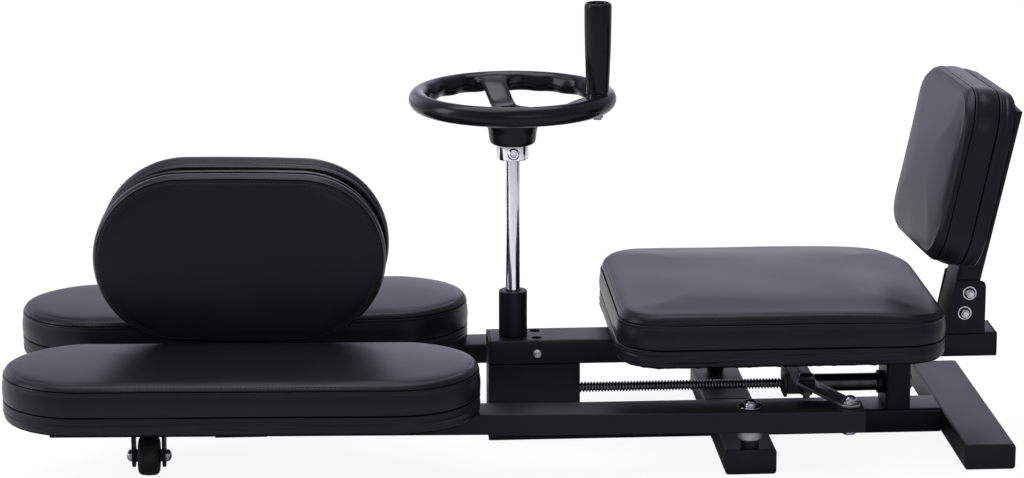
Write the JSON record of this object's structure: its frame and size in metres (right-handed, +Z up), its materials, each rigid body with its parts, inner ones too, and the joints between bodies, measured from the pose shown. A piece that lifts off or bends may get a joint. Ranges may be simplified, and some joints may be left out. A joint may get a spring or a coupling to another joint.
{
  "type": "leg stretching machine",
  "caption": "Low leg stretching machine: a seat with backrest, two padded leg arms on casters, and a scalloped handwheel on a column that spreads the arms with a lead screw and links.",
  "frame": {"origin": "centre of the bounding box's footprint, on the floor", "axes": "+X from the leg pads towards the backrest, +Y to the seated user's right, +Z up"},
  "size_m": [1.2002, 0.5066, 0.5344],
  "materials": {
    "black_powder_coat": "semi-matte powder coat",
    "black_end_cap": "fine grained moulding",
    "black_leatherette": "soft grained artificial leather, stitched",
    "black_gloss_plastic": "glossy moulding",
    "black_rubber": "matte",
    "chrome": "bright",
    "zinc_steel": "zinc plated",
    "blackened_steel": "blackened and oiled",
    "cast_iron": "plain casting, greased"
  },
  "bodies": {
    "base": {"lower_beam": "black_powder_coat", "lower_beam_cap": "black_end_cap", "mid_foot_left": "black_powder_coat", "mid_foot_right": "black_powder_coat", "mid_foot_cap_left": "black_end_cap", "mid_foot_cap_right": "black_end_cap", "rear_foot": "black_powder_coat", "rear_foot_cap_left": "black_end_cap", "rear_foot_cap_right": "black_end_cap", "rear_post": "black_powder_coat", "main_tube": "black_powder_coat", "main_tube_cap_front": "black_end_cap", "main_tube_cap_rear": "black_end_cap", "housing_screw": "zinc_steel", "gearbox_housing": "black_powder_coat", "shaft_sleeve": "black_powder_coat", "screw_bearing": "black_powder_coat", "pivot_bush_left": "zinc_steel", "pivot_bush_right": "zinc_steel", "pivot_bolt_left": "chrome", "pivot_bolt_right": "chrome", "seat_cushion": "black_leatherette", "back_bracket": "black_powder_coat", "back_upright": "black_powder_coat", "back_upright_cap": "black_end_cap", "back_bolt_upper": "zinc_steel", "back_bolt_lower": "zinc_steel", "back_cushion": "black_leatherette"},
    "wheel": {"handwheel": "black_gloss_plastic", "wheel_shaft": "chrome", "shaft_collar": "chrome", "collar_screw": "chrome", "drive_bevel": "cast_iron", "grip_spindle": "zinc_steel"},
    "grip": {"hand_grip": "black_gloss_plastic"},
    "screw": {"lead_screw": "blackened_steel", "driven_bevel": "cast_iron", "stop_sleeve": "blackened_steel", "screw_end_nut": "zinc_steel"},
    "carriage": {"nut_carriage": "cast_iron"},
    "arm_left": {"arm_left": "black_powder_coat", "leg_pad_left": "black_leatherette", "inner_pad_left": "black_leatherette", "inner_pad_bracket_left": "black_powder_coat", "caster_fork_left": "black_powder_coat", "caster_axle_left": "zinc_steel", "arm_link_bolt_left": "chrome"},
    "link_left": {"link_left": "zinc_steel", "carriage_link_bolt_left": "blackened_steel"},
    "caster_left": {"caster_wheel_left": "black_rubber"},
    "arm_right": {"arm_right": "black_powder_coat", "leg_pad_right": "black_leatherette", "inner_pad_right": "black_leatherette", "inner_pad_bracket_right": "black_powder_coat", "caster_fork_right": "black_powder_coat", "caster_axle_right": "zinc_steel", "arm_link_bolt_right": "chrome"},
    "link_right": {"link_right": "zinc_steel", "carriage_link_bolt_right": "blackened_steel"},
    "caster_right": {"caster_wheel_right": "black_rubber"}
  },
  "joints": [
    {"name": "handwheel_turn", "type": "hinge", "parent": "base", "child": "wheel", "pos_m": [-0.00558, 0, 0.4144], "axis": [0, 0, -1], "range_deg": [0, 13483.2]},
    {"name": "grip_spin", "type": "hinge", "parent": "wheel", "child": "grip", "pos_m": [0.09205, -0.03945, 0.48], "axis": [0, 0, 1], "continuous": true},
    {"name": "screw_turn", "type": "hinge", "parent": "base", "child": "screw", "pos_m": [0.24172, 0, 0.057], "axis": [1, 0, 0], "range_deg": [0, 13483.2]},
    {"name": "carriage_travel", "type": "slide", "parent": "base", "child": "carriage", "axis": [-1, 0, 0], "range_m": [0, 0.14045]},
    {"name": "arm_open_left", "type": "hinge", "parent": "base", "child": "arm_left", "pos_m": [0.26092, -0.165, 0.065], "axis": [0, 0, 1], "range_deg": [0, 75]},
    {"name": "link_turn_left", "type": "hinge", "parent": "arm_left", "child": "link_left", "pos_m": [0.3768, -0.17026, 0.0798], "axis": [0, 0, 1], "range_deg": [0, 6.93]},
    {"name": "caster_spin_left", "type": "hinge", "parent": "arm_left", "child": "caster_left", "pos_m": [-0.43836, -0.13325, 0.0235], "axis": [0.999, -0.0454, 0], "continuous": true},
    {"name": "arm_open_right", "type": "hinge", "parent": "base", "child": "arm_right", "pos_m": [0.26092, 0.165, 0.065], "axis": [0, 0, -1], "range_deg": [0, 75]},
    {"name": "link_turn_right", "type": "hinge", "parent": "arm_right", "child": "link_right", "pos_m": [0.3768, 0.17026, 0.0798], "axis": [0, 0, -1], "range_deg": [0, 6.93]},
    {"name": "caster_spin_right", "type": "hinge", "parent": "arm_right", "child": "caster_right", "pos_m": [-0.43836, 0.13325, 0.0235], "axis": [0.999, 0.0454, 0], "continuous": true}
  ],
  "couplings": [
    {"joint": "screw_turn", "follows": "handwheel_turn", "ratio": 1},
    {"joint": "carriage_travel", "follows": "handwheel_turn", "m_per_rad": 0.0005968},
    {"joint": "arm_open_left", "follows": "handwheel_turn", "ratio": 0.0055625},
    {"joint": "link_turn_left", "follows": "handwheel_turn", "ratio": 0.00051427},
    {"joint": "arm_open_right", "follows": "handwheel_turn", "ratio": 0.0055625},
    {"joint": "link_turn_right", "follows": "handwheel_turn", "ratio": 0.00051427}
  ]
}
